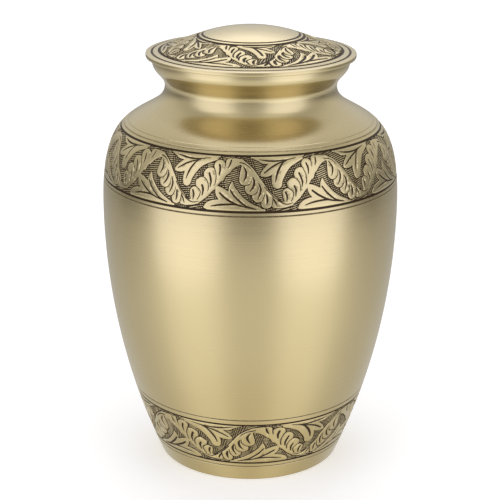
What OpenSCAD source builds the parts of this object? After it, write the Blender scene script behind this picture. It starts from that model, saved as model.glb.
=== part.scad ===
// Cremation urn: a turned brass vessel with a lid that lifts off.
//
// The urn stands on its flat base at z = 0, with its axis on Z.  All sizes are in millimetres.
// Each half-section below is a list of [radius, height] points that is spun about the axis.

/* [Body] */
// Diameter of the flat base
base_d = 101; // [84:1:122]
// Largest diameter of the body
belly_d = 162; // [135:1:195]
// Height of the largest diameter
belly_z = 147; // [122:1:177]
// Thickness of the spun wall
wall = 2; // [1.6:0.1:2.5]
// Thickness of the bottom
bottom = 2.5; // [2:0.1:4]
// Width and height of the bevel round the base
base_bevel = 0.8; // [0.4:0.1:1.2]

/* [Shoulder and neck] */
// Width that the shoulder takes, from the largest diameter in to where it turns into the neck
shoulder_w = 13.3; // [11:0.1:16]
// Height of that turn above the largest diameter
turn_rise = 45.7; // [38:0.1:55]
// Angle between the wall and the horizontal at the turn
turn_angle = 36.5; // [30:0.5:45]
// Outer diameter of the neck at its narrowest
throat_d = 93; // [77:1:112]
// Height of the narrowest place above the turn
throat_rise = 19; // [16:0.5:23]
// How far the lip spreads past the narrowest place
lip_flare = 6.7; // [5:0.1:9]
// Height that this curve takes
lip_rise = 12.9; // [10:0.1:16]
// Height of the lip's upright rim above the curve
rim_h = 2.5; // [1.5:0.1:4]

/* [Lid] */
// Overhang of the lid's edge past the lip, all round
lid_overhang = 3.4; // [2:0.1:5]
// Height of the lid's upright edge
lid_edge_h = 2.2; // [1.5:0.1:4]
// Width of the plain ledge round the engraved cone
ledge_w = 7.4; // [6:0.1:10]
// How far the ledge falls from the cone to the lid's edge
ledge_fall = 1; // [0.5:0.1:2]
// Height that the engraved cone climbs
cone_rise = 7.7; // [5:0.1:12]
// Diameter of the smooth button in the middle
button_d = 57.2; // [46:0.2:69]
// Height of the button's dome
button_rise = 4.9; // [3:0.1:8]
// Thickness of the lid's wall
lid_wall = 2.4; // [1.8:0.1:3]
// How far the locating skirt reaches below the lip's top
skirt_h = 18.5; // [15:0.5:22]
// Thickness of the skirt
skirt_wall = 1.8; // [1.2:0.1:2.5]
// Gap all round between the skirt and the narrowest part of the neck
skirt_gap = 0.5; // [0.3:0.1:1]

/* [Engraved bands] */
// Height of the foot band's lower edge
foot_band_z = 12.5; // [10:0.1:15]
// Height of the foot band, from edge to edge
foot_band_h = 26.8; // [20:0.1:32]
// Height of the shoulder band's lower edge above the largest diameter
shoulder_band_z = 16.5; // [12:0.1:20]
// Height of the shoulder band, from edge to edge
shoulder_band_h = 26.6; // [20:0.1:30]
// Depth of the ground that is cut away round the leaves
ground_depth = 0.5; // [0.3:0.1:0.8]
// Width of the cut line at each edge of a band
edge_line_w = 1.1; // [0.8:0.1:1.5]
// Width of the fine line beside it
fine_line_w = 0.7; // [0.4:0.1:1]
// Depth of the cut lines
line_depth = 0.4; // [0.2:0.1:0.6]
// Distance from the foot band's lower edge down to its fine line
foot_line_low = 2.7; // [2:0.1:3.5]
// Distance from its upper edge up to the other
foot_line_high = 3.3; // [2.5:0.1:4]
// Distance from each edge of the shoulder band to its fine line
shoulder_line = 2.4; // [2:0.1:3.5]
// Distance from the upper one to a second fine line, where the neck starts
neck_line = 1.9; // [1.5:0.1:2.5]
// Distance of the ledge's fine line from the edge of the lid
ledge_line = 3.4; // [2:0.1:4.5]
// Distance from the line round the button to the fine line inside it
button_line = 2.5; // [1.5:0.1:3]
// Plain metal left between an edge line and the sunk ground
line_land = 0.3; // [0.1:0.1:0.6]

/* [Hidden] */
$fn = 180;

base_r = base_d / 2;
belly_r = belly_d / 2;
turn_r = belly_r - shoulder_w;
throat_r = throat_d / 2;
lip_r = throat_r + lip_flare;

turn_z = belly_z + turn_rise;
throat_z = turn_z + throat_rise;
lip_z = throat_z + lip_rise + rim_h;

// The body's side is one arc that stands upright where the body is widest.
side_r = (pow(belly_r - base_r, 2) + pow(belly_z, 2)) / (2 * (belly_r - base_r));
side_x = belly_r - side_r;

// Lengths of the curves' handles, as shares of the height or width that each curve covers
shoulder_fullness = 0.61;
shoulder_ease = 0.73;
neck_ease = 0.53;
throat_fullness = 0.5;
lip_fullness = 0.45;

// Number of straight runs along each curve
steps = 14;
// How far a cut reaches out past the surface
over = 1;

// ---- Curves

function on_side(z, inset = 0) = [side_x + sqrt(pow(side_r - inset, 2) - pow(belly_z - z, 2)), z];

function bezier(a, b, c, d) =
    [for (i = [0:steps]) let (t = i / steps, s = 1 - t)
        s * s * s * a + 3 * s * s * t * b + 3 * s * t * t * c + t * t * t * d];

function reversed(path) = [for (i = [len(path) - 1:-1:0]) path[i]];

// The path without its first point, which the path before it ends on
function rest_of(path) = [for (i = [1:len(path) - 1]) path[i]];

// Moves a path that runs upwards towards the axis by a distance
function moved_in(path, distance) =
    [for (i = [0:len(path) - 1])
        let (run = path[min(i + 1, len(path) - 1)] - path[max(i - 1, 0)], along = run / norm(run))
        path[i] + distance * [-along[1], along[0]]];

// ---- Outline of the vessel, from the bevel at the base up to the lip

down_slope = [cos(turn_angle), -sin(turn_angle)];
turn_point = [turn_r, turn_z];
side_path = [for (i = [0:2 * steps]) on_side(base_bevel + (belly_z - base_bevel) * i / (2 * steps))];
shoulder_path = bezier([belly_r, belly_z],
                       [belly_r, belly_z + shoulder_fullness * turn_rise],
                       turn_point + shoulder_ease * shoulder_w * down_slope,
                       turn_point);
neck_path = bezier(turn_point,
                   turn_point - neck_ease * (turn_r - throat_r) * down_slope,
                   [throat_r, throat_z - throat_fullness * throat_rise],
                   [throat_r, throat_z]);
flare_path = bezier([throat_r, throat_z],
                    [throat_r, throat_z + lip_fullness * lip_rise],
                    [lip_r, lip_z - rim_h - lip_fullness * lip_rise],
                    [lip_r, lip_z - rim_h]);
outer_path = concat(side_path, rest_of(shoulder_path), rest_of(neck_path), rest_of(flare_path),
                    [[lip_r, lip_z]]);
outer_table = [for (p = outer_path) [p[1], p[0]]];

// Point of the outline at a height, and the direction that faces out of it there
function outer_at(z) = [lookup(z, outer_table), z];
function out_at(z) = let (run = outer_at(z + 0.5) - outer_at(z - 0.5)) [run[1], -run[0]] / norm(run);

// Inside, the wall runs from the bottom's corner to the mouth, which ends level with the lip.
inside = [for (p = moved_in(outer_path, wall)) if (p[1] > bottom + wall && p[1] < lip_z - over) p];
inner_path = concat([[0, bottom], on_side(bottom, wall)], inside, [[lip_r - wall, lip_z]]);

// ---- Cuts

// A groove with sloping sides, centred on a point of a surface that faces a direction
module groove(point, out, width) {
    across = [-out[1], out[0]];
    half_mouth = width / 2 * (1 + over / line_depth);
    polygon([point - line_depth * out,
             point + over * out + half_mouth * across,
             point + over * out - half_mouth * across]);
}

// Height that lies a distance further up the surface than another height
function up_from(z, distance) = z + distance * out_at(z)[0];

module line_at(z, width) {
    groove(outer_at(z), out_at(z), width);
}

// A band on the vessel: its sunk ground and the edge lines below and above
module vessel_band(low, high) {
    margin = edge_line_w / 2 + line_land;
    heights = [for (i = [0:steps]) low + margin + (high - low - 2 * margin) * i / steps];
    polygon(concat([for (z = heights) outer_at(z) - ground_depth * out_at(z)],
                   reversed([for (z = heights) outer_at(z) + over * out_at(z)])));
    line_at(low, edge_line_w);
    line_at(high, edge_line_w);
}

module foot_band() {
    low = foot_band_z;
    high = low + foot_band_h;
    vessel_band(low, high);
    line_at(up_from(low, -foot_line_low), fine_line_w);
    line_at(up_from(high, foot_line_high), fine_line_w);
}

module shoulder_band() {
    low = belly_z + shoulder_band_z;
    high = low + shoulder_band_h;
    fine_z = up_from(high, shoulder_line);
    vessel_band(low, high);
    line_at(up_from(low, -shoulder_line), fine_line_w);
    line_at(fine_z, fine_line_w);
    line_at(up_from(fine_z, neck_line), fine_line_w);
}

// ---- Vessel

module vessel() {
    color("darkkhaki")
        rotate_extrude()
            difference() {
                polygon(concat([[0, 0], [on_side(base_bevel)[0] - base_bevel, 0]],
                               outer_path, reversed(inner_path)));
                foot_band();
                shoulder_band();
            }
}

// ---- Lid

// The lid lies flat on the lip and reaches out past it to its upright edge.
lid_r = lip_r + lid_overhang;
edge_z = lip_z + lid_edge_h;
edge_bevel = 0.4;

// The ledge climbs gently to the cone, and the cone to the button, which is a cap of a sphere.
cone_r = lid_r - ledge_w;
ledge_z = edge_z + ledge_fall;
ledge_out = [ledge_fall, ledge_w] / norm([ledge_fall, ledge_w]);
button_r = button_d / 2;
button_z = ledge_z + cone_rise;
cone_out = [cone_rise, cone_r - button_r] / norm([cone_rise, cone_r - button_r]);
dome_r = (pow(button_r, 2) + pow(button_rise, 2)) / (2 * button_rise);
dome_z = button_z + button_rise - dome_r;
dome_angle = asin(button_r / dome_r);

function on_ledge(r) = [r, edge_z + ledge_fall * (lid_r - r) / ledge_w];
function on_cone(r) = [r, button_z - cone_rise * (r - button_r) / (cone_r - button_r)];
function on_dome(r, inset = 0) = [r, dome_z + sqrt(pow(dome_r - inset, 2) - pow(r, 2))];
function dome_path(radius) =
    [for (i = [0:steps]) let (angle = dome_angle * i / steps)
        [radius * sin(angle), dome_z + radius * cos(angle)]];

// The skirt drops into the neck, and the hollow above it lies one wall inside the cone.
skirt_r = throat_r - wall - skirt_gap;
hollow_r = skirt_r - skirt_wall;
hollow_top = on_cone(hollow_r) - [0, lid_wall / cone_out[1]];

// The sunk ground on the cone, an edge line at each side of it, and the two fine lines
module lid_band() {
    margin = edge_line_w / 2 + line_land;
    low = on_cone(cone_r - margin);
    high = on_cone(button_r + margin);
    polygon([low - ground_depth * cone_out, low + over * cone_out,
             high + over * cone_out, high - ground_depth * cone_out]);
    groove([cone_r, ledge_z], ledge_out, edge_line_w);
    groove(on_ledge(lid_r - ledge_line), ledge_out, fine_line_w);
    groove([button_r, button_z], cone_out, edge_line_w);
    groove(on_dome(button_r - button_line), cone_out, fine_line_w);
}

module lid() {
    color("khaki")
        rotate_extrude()
            difference() {
                polygon(concat([[hollow_r, lip_z - skirt_h], [skirt_r, lip_z - skirt_h],
                                [skirt_r, lip_z], [lid_r - edge_bevel, lip_z],
                                [lid_r, lip_z + edge_bevel], [lid_r, edge_z - edge_bevel],
                                on_ledge(lid_r - edge_bevel), [cone_r, ledge_z]],
                               reversed(dome_path(dome_r)),
                               dome_path(dome_r - lid_wall),
                               [hollow_top]));
                lid_band();
            }
}

vessel();
lid();
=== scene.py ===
import math

import bpy
import numpy as np
from mathutils import Matrix, Vector


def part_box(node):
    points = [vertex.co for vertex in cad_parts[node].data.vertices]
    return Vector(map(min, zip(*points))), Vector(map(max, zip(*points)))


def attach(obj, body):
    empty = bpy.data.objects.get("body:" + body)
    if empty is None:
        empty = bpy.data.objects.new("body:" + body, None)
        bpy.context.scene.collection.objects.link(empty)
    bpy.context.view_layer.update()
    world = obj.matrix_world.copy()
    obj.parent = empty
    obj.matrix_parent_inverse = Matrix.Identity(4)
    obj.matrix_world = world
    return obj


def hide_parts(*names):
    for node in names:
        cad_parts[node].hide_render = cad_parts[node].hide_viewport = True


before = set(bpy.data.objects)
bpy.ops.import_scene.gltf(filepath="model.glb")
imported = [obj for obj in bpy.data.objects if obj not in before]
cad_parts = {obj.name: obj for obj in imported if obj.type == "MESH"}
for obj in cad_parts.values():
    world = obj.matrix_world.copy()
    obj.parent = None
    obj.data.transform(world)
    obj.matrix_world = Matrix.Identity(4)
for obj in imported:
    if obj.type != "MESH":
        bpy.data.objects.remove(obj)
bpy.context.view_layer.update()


# ---- Vessel ------------------------------------------------------------------------------------
# The body is brass sheet spun over a former and trued on a lathe: a flat foot, one long arc up to
# the belly, a rolled shoulder, a waisted neck and a flared lip.  It is hollow, with a 2 mm wall,
# and the metal is turned away in two bands to take the engraved friezes.
# Sizes are in millimetres, and points of an outline are (radius, height).

foot_r = 50.5
foot_round = 0.8
belly_r = 81.0
belly_z = 147.0
shoulder_end = np.array([67.7, 192.7])
shoulder_slope = math.radians(36.5)
throat = np.array([46.5, 211.7])
lip = np.array([53.2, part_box("vessel")[1].z * 1000])
rim_h = 2.5
wall = 2.0
bottom = 2.5
foot_band = (12.5, 39.3)
shoulder_band = (163.5, 190.1)
edge_line = 1.35
fine_line = 0.9
line_depth = 0.4
fine_line_depth = 0.26
line_slope = 0.2
foot_fine_lines = (-2.7, 3.3)
shoulder_fine_lines = (-2.4, 2.4)
neck_step = 4.5
channel = 1.0
edge_break = 0.4
inner_corner_r = 3.0
turns = 288


def bezier(a, b, c, d, steps=80):
    """Cubic curve: corners a to d weighted by the four terms of (s + t) cubed, where s = 1 - t."""
    t = np.linspace(0, 1, steps + 1)[:, None]
    s = 1 - t
    return s**3 * a + 3 * s**2 * t * b + 3 * s * t**2 * c + t**3 * d


def swept_arc(centre, radius, start, end, steps):
    """Points at one radius from a centre, as the angle goes evenly from start to end."""
    angle = np.linspace(start, end, steps + 1)
    return np.array(centre) + radius * np.stack([np.cos(angle), np.sin(angle)], 1)


def chained(*paths):
    """Paths end to end, each starting where the last one stops."""
    return np.vstack([paths[0]] + [path[1:] for path in paths[1:]])


def run_along(path):
    """Distance along a path at each of its points."""
    return np.append(0, np.cumsum(np.hypot(*np.diff(path, axis=0).T)))


def on_path(path, runs, depth=0.0):
    """Points at distances along a path, sunk by a depth square to it, on its left-hand side."""
    step = np.gradient(path, axis=0)
    step /= np.hypot(step[:, 0], step[:, 1])[:, None]
    run = run_along(path)
    r, z, step_r, step_z = [np.interp(runs, run, column) for column in (*path.T, *step.T)]
    return np.stack([r - depth * step_z, z + depth * step_r], 1)


def eased(x):
    """Goes smoothly from 0 to 1 as x does: 3 x^2 - 2 x^3."""
    x = x.clip(0, 1)
    return x * x * (3 - 2 * x)


def cut_rows(start, end, gap, grooves):
    """Distances from start to end about a gap apart, closer over each groove; the depth there,
    and how brown the metal is.

    A groove is (middle, width, depth, brown): it falls from its edge, at half its width, to its
    flat bottom over the line's slope.  Each slope takes seven rows, from just outside it to just
    inside.
    """
    runs = [np.linspace(start, end, max(round((end - start) / gap), 1) + 1)]
    for mid, width, deep, brown in grooves:
        across = width / 2 - line_slope * np.array([-0.4, 0, 0.25, 0.5, 0.75, 1, 1.5])
        runs += [mid + across, [mid], mid - across]
    runs = np.unique(np.round(np.concatenate(runs).clip(start, end), 3))
    depth = np.zeros(len(runs))
    browning = np.zeros(len(runs))
    for mid, width, deep, brown in grooves:
        cut = eased((width / 2 - np.abs(runs - mid)) / line_slope)
        depth = np.maximum(depth, deep * cut)
        browning = np.maximum(browning, brown * cut)
    return runs, depth, browning


def skin_rows(path, stretches, grooves):
    """Rows of points for the outside of a shell, stretch by stretch, and how brown each row is.

    A stretch is (start, end, gap, under): one that lies under a frieze is sunk by the channel and
    brown all over, and the others take the grooves that are on them.
    """
    rows = []
    browning = []
    for start, end, gap, under in stretches:
        near = [] if under else [groove for groove in grooves
                                 if start - 0.01 <= groove[0] <= end + 0.01]
        runs, depth, brown = cut_rows(start, end, gap, near)
        rows.append(on_path(path, runs, depth + channel * under))
        browning.append(brown + under)
    return np.vstack(rows), np.concatenate(browning)


def ring_mesh(name, points, browning, poles=None):
    """Quads over a grid of points whose columns go once round the axis.

    Row i and column j join row i + 1 and column j + 1.  With poles, a fan closes the first row on
    the first pole and the last row on the second; without them, the last row joins the first.
    How far each point is browned, from 0 to 1, is kept for the patina.
    """
    rows, columns = points.shape[:2]
    here = np.arange(rows * columns).reshape(rows, columns)
    beside = np.roll(here, -1, axis=1)
    last = rows if poles is None else rows - 1
    above = np.roll(here, -1, axis=0)
    above_beside = np.roll(beside, -1, axis=0)
    quads = np.stack([here, beside, above_beside, above], 2)[:last].reshape(-1, 4)
    corners = quads.ravel()
    starts = np.arange(len(quads)) * 4
    places = points.reshape(-1, 3) / 1000
    brown = np.ravel(browning)
    if poles is not None:
        tip, top = len(places), len(places) + 1
        fans = np.vstack([np.stack([0 * here[0] + tip, beside[0], here[0]], 1),
                          np.stack([0 * here[0] + top, here[-1], beside[-1]], 1)])
        starts = np.append(starts, len(corners) + 3 * np.arange(len(fans)))
        corners = np.append(corners, fans.ravel())
        places = np.vstack([places, [[0, 0, z / 1000] for z in poles]])
        brown = np.append(brown, [0, 0])
    mesh = bpy.data.meshes.new(name)
    mesh.vertices.add(len(places))
    mesh.vertices.foreach_set("co", places.ravel())
    mesh.loops.add(len(corners))
    mesh.loops.foreach_set("vertex_index", corners)
    mesh.polygons.add(len(starts))
    mesh.polygons.foreach_set("loop_start", starts)
    mesh.update(calc_edges=True)
    mesh.attributes.new("browning", "FLOAT", "POINT").data.foreach_set("value", brown)
    mesh.shade_smooth()
    piece = bpy.data.objects.new(name, mesh)
    bpy.context.collection.objects.link(piece)
    return piece


def turned(name, section, browning):
    """A section spun about Z: at angle a, a point (r, z) goes to (r sin a, -r cos a, z).

    The section starts and ends on the axis, where the mesh closes in a fan.
    """
    angle = 2 * np.pi * np.arange(turns) / turns
    r, z = section[1:-1, :1], section[1:-1, 1:]
    points = np.stack([r * np.sin(angle), -r * np.cos(angle), z + 0 * angle], 2)
    browning = np.repeat(browning[1:-1, None], turns, axis=1)
    piece = ring_mesh(name, points, browning, poles=(section[0, 1], section[-1, 1]))
    piece.data.set_sharp_from_angle(angle=math.radians(28))
    return piece


def linear(code):
    """An sRGB hex colour as linear light: c / 12.92 near black, ((c + 0.055) / 1.055)^2.4 above."""
    c = np.array([int(code[k:k + 2], 16) / 255 for k in (1, 3, 5)])
    return [*np.where(c <= 0.04045, c / 12.92, ((c + 0.055) / 1.055) ** 2.4), 1.0]


def add(tree, kind, settings={}, links={}):
    """A new node: settings are its own properties, links its sockets' values or sources."""
    node = tree.nodes.new(kind)
    for key, value in settings.items():
        setattr(node, key, value)
    for key, value in links.items():
        if isinstance(value, bpy.types.NodeSocket):
            tree.links.new(value, node.inputs[key])
        else:
            node.inputs[key].default_value = value
    return node


# Satin brass, turned and brushed on the lathe, browned in the cuts, wiped back and lacquered:
# the brushing runs round the piece, so highlights smear up and down it, and the brown oxide stays
# wherever the metal lies deeper than the cloth could reach.
satin_brass = bpy.data.materials.new("satin brass, lathe brushed, browned in the cuts, lacquered")
satin_brass.use_nodes = True
tree = satin_brass.node_tree
tree.nodes.clear()
place = add(tree, "ShaderNodeTexCoord").outputs["Object"]
browned = add(tree, "ShaderNodeAttribute", {"attribute_name": "browning"}).outputs["Fac"]
blotch = add(tree, "ShaderNodeTexNoise", {}, {"Vector": place, "Scale": 1000 / 35, "Detail": 3.0})
grime = add(tree, "ShaderNodeTexNoise", {}, {"Vector": place, "Scale": 1000 / 1.8, "Detail": 2.0})
worn = add(tree, "ShaderNodeMath", {"operation": "MULTIPLY_ADD"},
           {0: grime.outputs["Fac"], 1: 0.3, 2: browned})
patina = add(tree, "ShaderNodeMapRange", {"interpolation_type": "SMOOTHSTEP"},
             {"Value": worn.outputs[0], "From Min": 0.22, "From Max": 0.95})
brass = add(tree, "ShaderNodeMix", {"data_type": "RGBA"},
            {"Factor": blotch.outputs["Fac"], "A": linear("#CCBD90"), "B": linear("#C8B78A")})
surface = add(tree, "ShaderNodeMix", {"data_type": "RGBA"},
              {"Factor": patina.outputs[0], "A": brass.outputs[2], "B": linear("#3A2810")})
metal = add(tree, "ShaderNodeMapRange", {},
            {"Value": patina.outputs[0], "To Min": 1.0, "To Max": 0.85})
# The brush marks are rings: noise of the distance from the axis and the height alone, 0.35 mm
# apart, which is coarser than real ones so that they show.
split = add(tree, "ShaderNodeSeparateXYZ", {}, {"Vector": place})
level = add(tree, "ShaderNodeCombineXYZ", {}, {"X": split.outputs["X"], "Y": split.outputs["Y"]})
reach = add(tree, "ShaderNodeVectorMath", {"operation": "LENGTH"}, {0: level.outputs[0]})
rings = add(tree, "ShaderNodeCombineXYZ", {},
            {"X": reach.outputs["Value"], "Z": split.outputs["Z"]})
marks = add(tree, "ShaderNodeTexNoise", {},
            {"Vector": rings.outputs[0], "Scale": 1000 / 0.7, "Detail": 3.0})
grain = add(tree, "ShaderNodeBump", {}, {"Strength": 0.12, "Distance": 0.0001,
                                         "Height": marks.outputs["Fac"]})
rough = add(tree, "ShaderNodeMapRange", {},
            {"Value": marks.outputs["Fac"], "To Min": 0.22, "To Max": 0.3})
rough_all = add(tree, "ShaderNodeMix", {"data_type": "FLOAT"},
                {"Factor": patina.outputs[0], "A": rough.outputs[0], "B": 0.62})
round_axis = add(tree, "ShaderNodeTangent", {"direction_type": "RADIAL", "axis": "Z"})
shader = add(tree, "ShaderNodeBsdfPrincipled", {}, {
    "Base Color": surface.outputs[2], "Metallic": metal.outputs[0],
    "Roughness": rough_all.outputs[0], "Normal": grain.outputs[0],
    "Tangent": round_axis.outputs[0], "Anisotropic": 0.45,
    "Coat Weight": 0.25, "Coat Roughness": 0.2})
add(tree, "ShaderNodeOutputMaterial", {}, {"Surface": shader.outputs[0]})


def stands_for(piece, node):
    """The piece rides on the one body, stands for a CAD node and takes the brass finish."""
    piece.data.materials.append(satin_brass)
    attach(piece, "root")
    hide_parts(node)


side_r = ((belly_r - foot_r) ** 2 + belly_z**2) / (2 * (belly_r - foot_r))
side = swept_arc((belly_r - side_r, belly_z), side_r,
                 -math.asin((belly_z - foot_round) / side_r), 0, 400)
slope = np.array([math.cos(shoulder_slope), -math.sin(shoulder_slope)])
shoulder = bezier(np.array([belly_r, belly_z]), np.array([belly_r, belly_z + 27.9]),
                  shoulder_end + 9.7 * slope, shoulder_end)
neck = bezier(shoulder_end, shoulder_end - 11.2 * slope, throat - [0, 9.5], throat)
rim_foot = lip - [0, rim_h]
flare = bezier(throat, throat + [0, 5.8], rim_foot - [0, 5.8], rim_foot)
outside = chained(side, shoulder, neck, flare, np.linspace(rim_foot, lip, 9))
outside_run = run_along(outside)


def band_runs(band):
    """Distances along the vessel's outside at a band's lower and upper edge."""
    return np.interp(band, outside[:, 1], outside_run)


foot_runs = band_runs(foot_band)
shoulder_runs = band_runs(shoulder_band)
grooves = [(run, edge_line, line_depth, 1.0) for run in (*foot_runs, *shoulder_runs)]
grooves += [(run, fine_line, fine_line_depth, 0.6)
            for run in (*(foot_runs + foot_fine_lines), shoulder_runs[0] + shoulder_fine_lines[0])]
# Above the shoulder the lines are worn nearly bright, and the second is a shallow step.
grooves += [(shoulder_runs[1] + shoulder_fine_lines[1], fine_line, fine_line_depth, 0.4),
            (shoulder_runs[1] + neck_step, 1.6, 0.2, 0.12)]
skin, skin_browning = skin_rows(
    outside, ((0, foot_runs[0], 1.7, 0), (*foot_runs, 3.0, 1),
              (foot_runs[1], shoulder_runs[0], 1.7, 0), (*shoulder_runs, 3.0, 1),
              (shoulder_runs[1], outside_run[-1] - edge_break, 1.7, 0)), grooves)

foot_edge = swept_arc((foot_r - foot_round, foot_round), foot_round, -math.pi / 2, 0, 5)[:-1]
lip_edge = lip + [[-edge_break, 0], [-wall + edge_break, 0]]
inner = on_path(outside, np.linspace(0, outside_run[-1], 90), wall)
inner = inner[(inner[:, 1] > bottom + inner_corner_r + 0.5) & (inner[:, 1] < lip[1] - 0.6)][::-1]
inner_corner = swept_arc((inner[-1, 0] - inner_corner_r - 1.2, bottom + inner_corner_r),
                         inner_corner_r, 0, -math.pi / 2, 6)
before = np.vstack([[[0, 0], [20, 0], [foot_r - 8, 0]], foot_edge])
after = np.vstack([lip_edge, inner, inner_corner, [[20, bottom], [0, bottom]]])
section = np.vstack([before, skin, after])
section_browning = np.concatenate([np.zeros(len(before)), skin_browning, np.zeros(len(after))])
vessel = turned("vessel_shell", section, section_browning)
stands_for(vessel, "vessel")


# ---- Engraved scrolls --------------------------------------------------------------------------
# One repeat of the running scroll, cut by hand with a graver: an acanthus leaf climbs, the next
# one falls, and a small palmette fills the corner over and under them.  The ground between is cut
# away and hatched.  Along and up are in mm from the band's lower edge line.
# Each stroke is a curve through (along, up, half its width), as wide as the metal it leaves.

repeat_length = 46.6
repeat_height = 29.0
leaves = [
    # the rising leaf: its stem, then its lobes from the lowest up
    [(30.8, 3.1, 1.3), (36, 4.3, 1.4), (40.6, 7.8, 1.3), (44.4, 12.2, 1.3), (47.8, 16.8, 1.4),
     (51.2, 21, 1.5), (55, 24.4, 1.6), (59, 25.7, 1.2)],
    [(35.6, 9.2, 2.5), (35.9, 6.6, 2.3), (36.6, 4.6, 1.6)],
    [(38.9, 13.8, 3.2), (39.9, 10.6, 2.6), (40.4, 7.8, 1.6)],
    [(42.8, 18.6, 3.2), (43.9, 15.4, 2.9), (44.3, 12.2, 1.7)],
    [(47.2, 23.4, 2.8), (48.6, 20.4, 2.4), (48.6, 17, 1.5)],
    [(52.6, 25.0, 2.4), (51.8, 22.4, 2.2), (51.2, 20.2, 1.2)],
    [(37, 6.5, 1.4), (41.5, 11, 1.5), (45.5, 16, 1.5), (49, 21, 1.6)],
    # the falling leaf: its stem, then its lobes from the highest down
    [(8, 25.9, 1.5), (12, 25.6, 1.2), (15.4, 23.6, 1.0), (18.2, 20.8, 1.0), (20.8, 17.0, 1.0),
     (23.2, 13.4, 1.0), (25.8, 9.8, 0.9), (28.6, 6.6, 0.9), (31.8, 3.9, 0.9)],
    [(13.8, 23.8, 0.9), (14.8, 20.2, 2.6), (14.7, 16.8, 3.0)],
    [(18.2, 20, 1.2), (18.6, 16, 2.4), (17.7, 12.2, 3.1)],
    [(21.4, 16, 1.2), (22.2, 12, 2.4), (21.3, 8.2, 3.0)],
    [(24.6, 10, 1.0), (25.4, 7, 2.0), (25.2, 4.4, 2.4)],
    [(27.4, 8, 0.9), (29.0, 5.4, 1.7), (29.4, 4.0, 2.0)],
    [(15, 21.5, 2.0), (18.5, 17, 2.2), (21.8, 12, 2.2), (25, 8, 1.8), (28.5, 4.6, 1.4)],
    # the palmette that hangs from the upper edge
    [(17.5, 28.6, 0.1), (22, 27.4, 1.0), (25, 26.9, 1.9), (34, 27.2, 1.9), (40, 27.8, 1.1),
     (46.5, 28.3, 0.4)],
    [(23.2, 19.2, 0.8), (26.2, 20.8, 2.4), (30.5, 23.8, 2.6), (36, 26.2, 1.6)],
    [(30.6, 13.9, 2.1), (30.9, 17.0, 2.6), (33.0, 21.3, 2.9), (37.2, 24.7, 2.1), (45, 27.0, 0.7)],
    # the palmette that stands on the lower edge
    [(-5.9, 1.5, 0.2), (-2.6, 2.6, 2.2), (2, 3.1, 2.8), (8, 2.6, 2.3), (16, 1.6, 1.2),
     (24, 0.9, 0.4)],
    [(0.1, 12.6, 0.2), (2.3, 9.5, 2.5), (6.2, 6.6, 3.0), (12, 3.6, 1.8)],
    [(8, 15, 0.2), (8.0, 12, 1.4), (9.3, 8.8, 2.2), (12.4, 6.0, 1.8), (16.5, 3.4, 1.4),
     (22, 1.9, 0.3)],
]
veins = [
    [(34.4, 9.8, 0.38), (35.1, 7.5, 0.4), (34.8, 5.0, 0.12)],
    [(39.0, 12.6, 0.42), (39.7, 10.5, 0.45), (39.4, 7.4, 0.14)],
    [(42.1, 19.0, 0.42), (43.0, 16.5, 0.45), (43.4, 14.4, 0.4), (43.1, 12.0, 0.14)],
    [(47.0, 23.8, 0.4), (47.6, 21.2, 0.45), (47.3, 18.2, 0.14)],
    [(53.2, 26.5, 0.3), (52.8, 24.6, 0.36), (51.9, 22.3, 0.14)],
    [(13.6, 23.4, 0.14), (14.9, 20.6, 0.45), (14.8, 18.2, 0.45), (13.8, 15.8, 0.16)],
    [(18.6, 17.8, 0.2), (19.1, 15.5, 0.45), (18.5, 13, 0.45), (16.9, 10.7, 0.14)],
    [(21.4, 14.8, 0.2), (22.3, 12.5, 0.45), (22.2, 10, 0.45), (20.8, 6.7, 0.14)],
    [(25.3, 8.6, 0.36), (25.6, 6, 0.5), (25.2, 3.6, 0.16)],
    [(28.2, 7, 0.2), (29.3, 5, 0.36), (30.2, 2.8, 0.14)],
    [(21.8, 27.3, 0.1), (26.5, 26.4, 0.42), (31.6, 26.0, 0.42), (36.6, 26.4, 0.3),
     (41.6, 27.2, 0.12)],
    [(24.3, 20.0, 0.25), (28, 22.6, 0.4), (32, 24.6, 0.34), (36.5, 26.0, 0.2)],
    [(29.9, 15.2, 0.14), (30.7, 18.4, 0.42), (32.1, 21.6, 0.46), (34.0, 24.4, 0.36),
     (36, 26, 0.15)],
    [(-2.4, 2.4, 0.14), (1.5, 3.4, 0.4), (6, 3.9, 0.42), (10, 3.9, 0.42), (14, 2.8, 0.3),
     (20, 1.5, 0.12)],
    [(1.8, 9.5, 0.4), (5, 6.9, 0.5), (8.4, 4.9, 0.4), (11, 4.0, 0.15)],
    [(7.3, 11.0, 0.34), (9.4, 8.0, 0.42), (12, 5.5, 0.42), (15, 3.2, 0.35), (20, 1.6, 0.12)],
]
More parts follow.
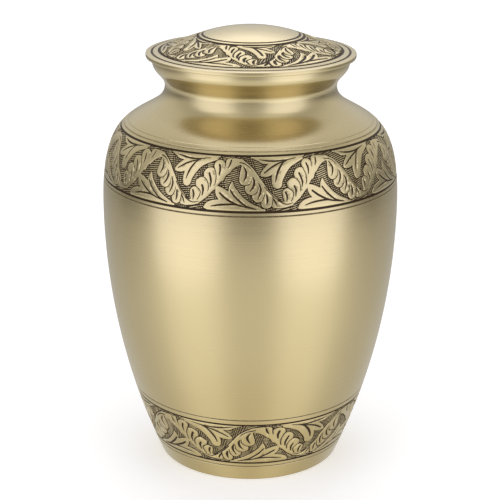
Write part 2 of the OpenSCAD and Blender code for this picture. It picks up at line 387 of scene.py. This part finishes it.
outlines = [
    # round the lobes of the rising leaf
    [(33.4, 11.0, 0.2), (34.6, 11.8, 0.2), (36.1, 11.6, 0.2), (38.0, 10.0, 0.2), (38.3, 8.0, 0.2),
     (37.3, 5.6, 0.2), (36.8, 5.0, 0.08)],
    [(36.0, 15.5, 0.2), (37.1, 16.6, 0.2), (38.6, 17.0, 0.2), (40.6, 16.0, 0.2),
     (42.0, 13.5, 0.2), (42.3, 11.0, 0.2), (41.9, 9.6, 0.08)],
    [(43.8, 22.9, 0.2), (45.0, 20.5, 0.2), (45.8, 17.5, 0.2), (45.7, 14.5, 0.2),
     (45.1, 13.0, 0.08)],
    [(50.2, 26.2, 0.2), (50.1, 24, 0.2), (49.8, 21.6, 0.08)],
    [(30.6, 5.6, 0.25), (32.6, 4.3, 0.25), (35.1, 3.6, 0.22), (38.0, 4.3, 0.1)],
    # round the lobes of the falling leaf
    [(12, 14.4, 0.2), (14, 13.6, 0.2), (16.3, 14.2, 0.2), (17.7, 16, 0.2), (17.9, 18.6, 0.08)],
    [(14.4, 10.6, 0.2), (16.6, 9.0, 0.2), (19.2, 9.2, 0.2), (20.8, 11.2, 0.2), (21, 14, 0.08)],
    [(18.3, 6.6, 0.2), (19.8, 5.3, 0.2), (21.5, 5, 0.2), (23, 5.8, 0.2), (24.1, 8, 0.2),
     (24.4, 10.5, 0.08)],
    [(28.3, 8.2, 0.1), (28.2, 5.4, 0.22), (27.5, 2.3, 0.2)],
    [(24.3, 13, 0.2), (27, 9.4, 0.2), (30, 6.4, 0.2), (33, 4.7, 0.1)],
    [(11.4, 25.4, 0.25), (14.2, 24.7, 0.25), (16.6, 23.0, 0.2), (18.2, 21.0, 0.1)],
]


def through(points, steps=5):
    """Catmull-Rom curve: at each point it heads from the one before towards the one after."""
    p = np.asarray(points, dtype=float)
    ends = np.vstack([2 * p[0] - p[1], p, 2 * p[-1] - p[-2]])
    t = np.linspace(0, 1, steps, endpoint=False)[:, None]
    spans = [0.5 * (2 * b + (c - a) * t + (2 * a - 5 * b + 4 * c - d) * t**2
                    + (3 * b - a - 3 * c + d) * t**3)
             for a, b, c, d in zip(ends, ends[1:], ends[2:], ends[3:])]
    return np.vstack(spans + [p[-1:]])


drawing_cell = 0.1


def edge_distance(strokes, reach=1.2):
    """Distance to the nearest stroke's edge on a grid over one repeat, negative inside it.

    A stroke is a chain of short tapered runs: the distance to one is the distance to the nearest
    point of its middle line, less half the width there.  Each is also laid one repeat to either
    side, so that the pattern joins its neighbours.
    """
    along = np.arange(0, repeat_length - drawing_cell / 2, drawing_cell)
    up = np.arange(0, repeat_height + drawing_cell / 2, drawing_cell)
    field = np.full((len(up), len(along)), reach)
    for stroke in strokes:
        for shift in (-repeat_length, 0, repeat_length):
            path = through(stroke) + [shift, 0, 0]
            margin = path[:, 2].max() + reach
            i0, i1 = np.searchsorted(along, [path[:, 0].min() - margin, path[:, 0].max() + margin])
            j0, j1 = np.searchsorted(up, [path[:, 1].min() - margin, path[:, 1].max() + margin])
            u = along[None, i0:i1]
            v = up[j0:j1, None]
            near = field[j0:j1, i0:i1]
            for (x0, y0, w0), (x1, y1, w1) in zip(path, path[1:]):
                dx = x1 - x0
                dy = y1 - y0
                t = (((u - x0) * dx + (v - y0) * dy) / (dx**2 + dy**2 + 1e-9)).clip(0, 1)
                away = np.hypot(u - x0 - t * dx, v - y0 - t * dy) - (w0 + (w1 - w0) * t)
                np.minimum(near, away, out=near)
    return field


def sampled(field, along, up):
    """Value of a field between its grid points: a blend of the four round each place."""
    x = (along % repeat_length) / drawing_cell
    y = (up / drawing_cell).clip(0, field.shape[0] - 1.001)
    i = x.astype(int)
    j = y.astype(int)
    x = x - i
    y = y - j
    i = i % field.shape[1]
    k = (i + 1) % field.shape[1]
    return ((1 - y) * ((1 - x) * field[j, i] + x * field[j, k])
            + y * ((1 - x) * field[j + 1, i] + x * field[j + 1, k]))


def wander(around, up, waves, seed):
    """Slow wander of the hand, within 1: sine waves with whole numbers of turns round the axis."""
    draw = np.random.default_rng(seed)
    total = 0 * around * up
    for wave in waves:
        total = total + np.sin(wave * around + draw.uniform(-0.15, 0.15) * up
                               + draw.uniform(0, 2 * np.pi))
    return total / len(waves)


leaf_field = edge_distance(leaves)
vein_field = edge_distance(veins)
outline_field = edge_distance(outlines)
ground_depth = 0.5
stud_rise = 0.34
hatch_pitch = 1.03
hatch_tilt = math.radians(12.5)
post_tilt = math.radians(15)
hatch_wander = 0.3
rim_roll = 0.05
leaf_spread = 0.16
vein_spread = 0.12
vein_depth = 0.36
outline_spread = 0.1
outline_depth = 0.26
graver_slope = 0.24


def carved(along, up, around, bite, upright, seed):
    """Depth of the engraving below the finished surface, and how far it is browned.

    A leaf keeps its height but for a rolled rim; its veins and outlines are steep cuts with flat
    bottoms, wider by the bite at each side.  Past the rim the metal drops to the ground, where
    two sets of hatch lines cross and leave bright studs, though none close to a leaf.  One set
    fades in and out: the upright one, or the level one where the hatching is upright.  Whole
    numbers of both fit in a repeat, so the hatching closes round the urn.
    """
    leaf = sampled(leaf_field, along, up) - leaf_spread + bite / 2
    vein = eased((vein_spread + bite - sampled(vein_field, along, up)) / graver_slope)
    outline = eased((outline_spread + bite - sampled(outline_field, along, up)) / graver_slope)
    lines = round(repeat_length * math.sin(hatch_tilt) / hatch_pitch)
    first = up * math.cos(hatch_tilt) / hatch_pitch - along * lines / repeat_length
    posts = round(repeat_length * math.cos(post_tilt) / hatch_pitch)
    second = along * posts / repeat_length + up * math.sin(post_tilt) / hatch_pitch
    first = first + hatch_wander * wander(around, up, (17, 31, 44), seed + 1)
    second = second + hatch_wander * wander(around, up, (19, 37, 53), seed + 2)
    ridge = 1 - 2 * np.abs(first % 1 - 0.5)
    post = 1 - 2 * np.abs(second % 1 - 0.5)
    fade = 0.3 + 1.2 * wander(around, up, (23, 41, 58), seed + 3)
    main, other = (post, ridge) if upright else (ridge, post)
    other = np.maximum(other, fade.clip(0, 0.6))
    stud = eased((main - 0.3 - bite / 2) / 0.3) * eased((other - 0.2) / 0.3)
    stud = stud * eased((leaf - 0.3 - bite / 2) / 0.25)
    rim = rim_roll * (1 + leaf / 0.6).clip(0, 1) ** 2
    fall = eased(leaf / 0.2)
    depth = rim * (1 - fall) + fall * (ground_depth - stud_rise * stud)
    depth = np.maximum(depth, np.maximum(vein_depth * vein, outline_depth * outline))
    browning = eased((leaf + 0.02) / 0.18) * (1 - 0.85 * stud)
    return depth, np.maximum(browning, np.maximum(vein, outline))


def thinned(piece, faces):
    """Collapses the piece's shortest and flattest edges until it has about this many triangles."""
    squeeze = piece.modifiers.new("thin", "DECIMATE")
    squeeze.ratio = faces / (2 * len(piece.data.polygons))
    squeeze.use_collapse_triangulate = True
    mesh = bpy.data.meshes.new_from_object(
        piece.evaluated_get(bpy.context.evaluated_depsgraph_get()))
    piece.modifiers.clear()
    piece.data = mesh
    mesh.name = piece.name


def frieze(name, path, low, high, line, repeats, first, ease, flow, bite, faces, seed,
           upright=False):
    """A closed ring of engraved metal that lies in its channel between two edge lines.

    Its face follows the path from run low to run high, sunk by the carved depth, and its back lies
    just above the channel's floor.  The repeats start at the angle first, and run to the right or
    the left as flow is 1 or -1.  ease is how far, in degrees, the engraver's spacing pulls them in
    at the front: the angle plus ease[0] sines and ease[1] cosines of it.  line is the width of
    the edge lines, and bite is how much wider than drawn, at each side, the graver cuts.  The
    hand strays by up to stray_along and stray_up from the drawing, and the ring ends play short
    of its channel all round.
    """
    cell = 0.15
    play = 0.02
    stray_along = 0.30
    stray_up = 0.22
    back_rows = 10
    height = high - low
    up = np.linspace(play, height - play, round(height / cell))[:, None]
    middle = on_path(path, np.array([(low + high) / 2, low]))[:, 0].max()
    columns = round(2 * np.pi * middle / cell)
    around = 2 * np.pi * np.arange(columns)[None, :] / columns
    start = math.radians(first)
    pull = np.radians(ease)
    turn = (around - start + pull[0] * (np.sin(around) - math.sin(start))
            + pull[1] * (np.cos(around) - math.cos(start)))
    along = 0.2 + flow * repeat_length * repeats * turn / (2 * np.pi)
    along = along + stray_along * wander(around, up, (7, 13, 24), seed)
    level = up * repeat_height / height
    level = level + stray_up * wander(around, up, (9, 16, 27), seed + 9)
    depth, browning = carved(along, level, around, bite, upright, seed)
    edge_cut = eased((line / 2 - np.minimum(up, height - up)) / line_slope)
    depth = np.maximum(depth, line_depth * edge_cut)
    browning = np.maximum(browning, edge_cut)
    back_up = np.linspace(height - play, play, back_rows)
    rows = low + np.append(up[:, 0], back_up)
    depth = np.vstack([depth, np.full((back_rows, columns), channel - 0.05)])
    browning = np.vstack([browning, np.ones((back_rows, columns))])
    top = on_path(path, rows)
    sunk = top - on_path(path, rows, 1.0)
    r = top[:, :1] - depth * sunk[:, :1]
    z = top[:, 1:] - depth * sunk[:, 1:]
    piece = ring_mesh(name, np.stack([r * np.sin(around), -r * np.cos(around), z], 2), browning)
    thinned(piece, faces)
    piece.data.shade_smooth()
    piece.data.set_sharp_from_angle(angle=math.radians(32))
    return piece


# ---- Shoulder frieze ---------------------------------------------------------------------------
# The body's own brass, cut by hand with a graver in the band above the belly.  Ten repeats of the
# scroll close round the shoulder, and their leaves lean to the right.

shoulder_frieze = frieze("shoulder_frieze", outside, *shoulder_runs, line=edge_line, repeats=10,
                         first=-12.4, ease=(2.6, 1.5), flow=1, bite=0, faces=190000, seed=11)
stands_for(shoulder_frieze, "vessel")


# ---- Foot frieze -------------------------------------------------------------------------------
# The same brass and the same hand, in the band over the foot.  Its seven repeats are a little
# longer, are cut slightly wider, and run the other way.

foot_frieze = frieze("foot_frieze", outside, *foot_runs, line=edge_line, repeats=7, first=15.2,
                     ease=(1.9, 0), flow=-1, bite=0.08, faces=180000, seed=23)
stands_for(foot_frieze, "vessel")


# ---- Lid ---------------------------------------------------------------------------------------
# The lid is turned brass, hollow underneath, and lifts off: its skirt drops into the neck and it
# rests on the lip.  Over its upright edge lie a flat ledge, an engraved cone and a smooth button.

lid_edge_h = 2.2
ledge_rise = 1.0
cone_rise = 7.7
lid_edge = np.array([56.6, lip[1] + lid_edge_h])
cone_foot = np.array([49.2, lid_edge[1] + ledge_rise])
cone_top = np.array([28.6, cone_foot[1] + cone_rise])
apex_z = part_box("lid")[1].z * 1000
skirt_r = 44.0
skirt_inner_r = 42.2
skirt_h = 18.5
skirt_z = lip[1] - skirt_h
lid_wall = 2.4
lid_edge_line = 1.7
lid_fine_line = 1.4
ledge_fine_line = 3.0
button_fine_line = 2.5

button_rise = apex_z - cone_top[1]
dome_r = (cone_top[0] ** 2 + button_rise**2) / (2 * button_rise)
dome_half = math.asin(cone_top[0] / dome_r)
dome = swept_arc((0, apex_z - dome_r), dome_r, math.pi / 2 - dome_half, math.pi / 2, 200)
ledge_rim = lid_edge + [-edge_break, 0.05]
lid_top = chained(np.linspace(ledge_rim, cone_foot, 40),
                  np.linspace(cone_foot, cone_top, 80), dome)
lid_run = run_along(lid_top)
cone_runs = np.array([0, math.hypot(*(cone_top - cone_foot))])
cone_runs += math.hypot(*(cone_foot - ledge_rim))
lid_grooves = [(cone_runs[0], lid_edge_line, line_depth, 1.0),
               (cone_runs[1], lid_edge_line, line_depth, 1.0),
               (ledge_fine_line, lid_fine_line, fine_line_depth, 1.0),
               (cone_runs[1] + button_fine_line, lid_fine_line, fine_line_depth, 1.0)]
lid_skin, lid_browning = skin_rows(
    lid_top, ((0, cone_runs[0], 1.5, 0), (*cone_runs, 3.0, 1),
              (cone_runs[1], lid_run[-1], 1.2, 0)), lid_grooves)

# Underneath, the wall follows the dome and the cone, as far out as the skirt's inner face.
cone_width = cone_foot[0] - cone_top[0]
hollow_z = cone_top[1] - cone_rise * (skirt_inner_r - cone_top[0]) / cone_width
hollow_z -= lid_wall * math.hypot(cone_rise, cone_width) / cone_width
hollow = swept_arc((0, apex_z - dome_r), dome_r - lid_wall, math.pi / 2,
                   math.pi / 2 - dome_half, 14)
skirt = np.array([[skirt_inner_r, hollow_z], [skirt_inner_r, skirt_z + edge_break],
                  [skirt_inner_r + edge_break, skirt_z], [skirt_r - edge_break, skirt_z],
                  [skirt_r, skirt_z + edge_break], [skirt_r, lip[1]]])
edge = np.array([[lid_edge[0] - 0.5, lip[1]], [lid_edge[0] - 0.15, lip[1] + 0.15],
                 [lid_edge[0], lip[1] + 0.5], lid_edge - [0, edge_break], lid_edge - [0.12, 0.1]])
under = np.vstack([hollow, skirt, edge])
lid_section = np.vstack([under, lid_skin])
lid_section_browning = np.concatenate([np.zeros(len(under)), lid_browning])
lid_section[0, 0] = 0
lid_section[-1, 0] = 0
lid = turned("lid_shell", lid_section, lid_section_browning)
stands_for(lid, "lid")

# Five repeats run to the left round the cone, their leaves squeezed to fit.
lid_frieze = frieze("lid_frieze", lid_top, *cone_runs, line=lid_edge_line, repeats=5,
                    first=-15.4, ease=(3.4, 0), flow=-1, bite=0.24, faces=150000, seed=37,
                    upright=True)
stands_for(lid_frieze, "lid")


# ---- Floor, lights and camera ------------------------------------------------------------------
# A plain pale floor and a pale room, a tall soft box to each side of the camera, and one above the
# urn and one high behind it.

half = 8.0
floor_mesh = bpy.data.meshes.new("floor")
floor_mesh.from_pydata([(-half, -half, 0), (half, -half, 0), (half, half, 0), (-half, half, 0)],
                       [], [(0, 1, 2, 3)])
floor = bpy.data.objects.new("floor", floor_mesh)
bpy.context.collection.objects.link(floor)
paper = bpy.data.materials.new("matt white paper")
paper.use_nodes = True
sheet = paper.node_tree.nodes["Principled BSDF"]
sheet.inputs["Base Color"].default_value = linear("#F6F5F2")
sheet.inputs["Roughness"].default_value = 0.9
sheet.inputs["Emission Color"].default_value = (1, 1, 1, 1)
sheet.inputs["Emission Strength"].default_value = 0.3
floor_mesh.materials.append(paper)
# The urn mirrors the room's lower half instead of the bright floor right under it.
floor.visible_glossy = False
floor.visible_shadow = False

room = bpy.data.worlds.new("pale room")
bpy.context.scene.world = room
room.use_nodes = True
# The room's radiance depends on the direction.  It goes through the stops below, from straight down
# to a little above level.  Under the two tall boxes it is brighter, as their light spills down the
# walls; behind the urn the floor is dimmer and the wall paler than in front; and dark gaps stand
# just below level, in front of the urn and at either side.
tree = room.node_tree
heading = add(tree, "ShaderNodeSeparateXYZ", {},
              {"Vector": add(tree, "ShaderNodeTexCoord").outputs["Generated"]})
sideways, depthways, upwards = heading.outputs
stops = ((-1.0, "#DCD2BC"), (-0.86, "#E4DECF"), (-0.64, "#EFEEEC"), (-0.48, "#EFEFEF"),
         (-0.34, "#E3E3E4"), (-0.26, "#D4D4D5"), (-0.17, "#BEBEBF"), (-0.05, "#B4B4B5"),
         (0.1, "#BABABA"), (0.3, "#C2C2C2"))
ramp = add(tree, "ShaderNodeValToRGB", {}, {
    "Fac": add(tree, "ShaderNodeMapRange", {}, {"Value": upwards, "From Min": -1.0}).outputs[0]})
while len(ramp.color_ramp.elements) < len(stops):
    ramp.color_ramp.elements.new(0.5)
for stop, (height, shade) in zip(ramp.color_ramp.elements, stops):
    stop.position = (height + 1) / 2
    stop.color = linear(shade)
ahead = add(tree, "ShaderNodeMath", {"operation": "MULTIPLY"}, {0: depthways, 1: -1.0})
turned_by = add(tree, "ShaderNodeMath", {"operation": "ARCTAN2"}, {0: sideways, 1: ahead.outputs[0]})
either_way = add(tree, "ShaderNodeMath", {"operation": "ABSOLUTE"}, {0: turned_by.outputs[0]})
bearing = add(tree, "ShaderNodeMath", {"operation": "MULTIPLY"},
              {0: either_way.outputs[0], 1: math.degrees(1)}).outputs[0]
# A glow is its strength times smooth steps: a value, where the step is 0 and where it is 1.  They
# are the spill, the dim floor and the pale wall behind, the gap in front, and those at the sides.
glows = (
    (0.44, (bearing, 12, 36), (bearing, 90, 56), (upwards, -1.3, -0.35)),
    (-0.2, (depthways, -0.3, 0.4), (upwards, 0.25, -0.2)),
    (0.24, (depthways, 0.05, 0.6), (upwards, -0.2, 0.25)),
    (-0.22, (bearing, 18, 9), (upwards, -0.33, -0.25), (upwards, -0.08, -0.15)),
    (-0.13, (bearing, 79, 88), (bearing, 122, 110), (upwards, -0.33, -0.24),
     (upwards, -0.02, -0.1)),
)
radiance = ramp.outputs[0]
for strength, *steps in glows:
    glow = strength
    for value, none, full in steps:
        step = add(tree, "ShaderNodeMapRange", {"interpolation_type": "SMOOTHSTEP"},
                   {"Value": value, "From Min": none, "From Max": full})
        glow = add(tree, "ShaderNodeMath", {"operation": "MULTIPLY"},
                   {0: step.outputs[0], 1: glow}).outputs[0]
    radiance = add(tree, "ShaderNodeVectorMath", {"operation": "ADD"},
                   {0: radiance, 1: glow}).outputs[0]
background = tree.nodes["Background"]
tree.links.new(radiance, background.inputs["Color"])
background.inputs["Strength"].default_value = 1.0


def soft_box(name, radiance, colour, size, azimuth, distance, height, aim):
    """A flat lamp that faces the axis at the height aim.

    Its watts are radiance times pi times area.
    """
    lamp = bpy.data.lights.new(name, "AREA")
    lamp.shape = "RECTANGLE"
    lamp.size, lamp.size_y = size
    lamp.color = colour
    lamp.energy = radiance * math.pi * size[0] * size[1]
    a = math.radians(azimuth)
    place = np.array([distance * math.sin(a), -distance * math.cos(a), height])
    box = bpy.data.objects.new(name, lamp)
    back = Vector(place) - Vector((0, 0, aim))
    box.rotation_mode = "QUATERNION"
    box.rotation_quaternion = back.to_track_quat("Z", "Y")
    box.location = place
    bpy.context.collection.objects.link(box)
    return box


soft_box("box_right", 0.47, (0.98, 1, 1.4), (1.35, 2.1), 47, 1.3, 0.55, 0.5)
soft_box("box_left", 0.47, (0.98, 1, 1.4), (1.35, 2.1), -49, 1.3, 0.55, 0.5)
soft_box("box_above", 0.62, (0.98, 1, 1.2), (1.7, 2.4), 180, 1.0, 2.2, 0.0)
soft_box("box_behind", 0.4, (0.98, 1, 1.2), (2.0, 1.2), 180, 2.2, 1.9, 0.1)

camera_data = bpy.data.cameras.new("camera")
camera_data.sensor_width = 36
camera_data.lens = 109.08
camera_data.clip_end = 50
camera = bpy.data.objects.new("camera", camera_data)
camera.matrix_world = (Matrix.Translation((0, -0.8046, 0.3861))
                       @ Matrix.Rotation(math.radians(90 - 18.5), 4, "X")
                       @ Matrix.Rotation(math.radians(0.314), 4, "Z"))
bpy.context.collection.objects.link(camera)
bpy.context.scene.camera = camera
bpy.context.scene.view_settings.view_transform = "Standard"
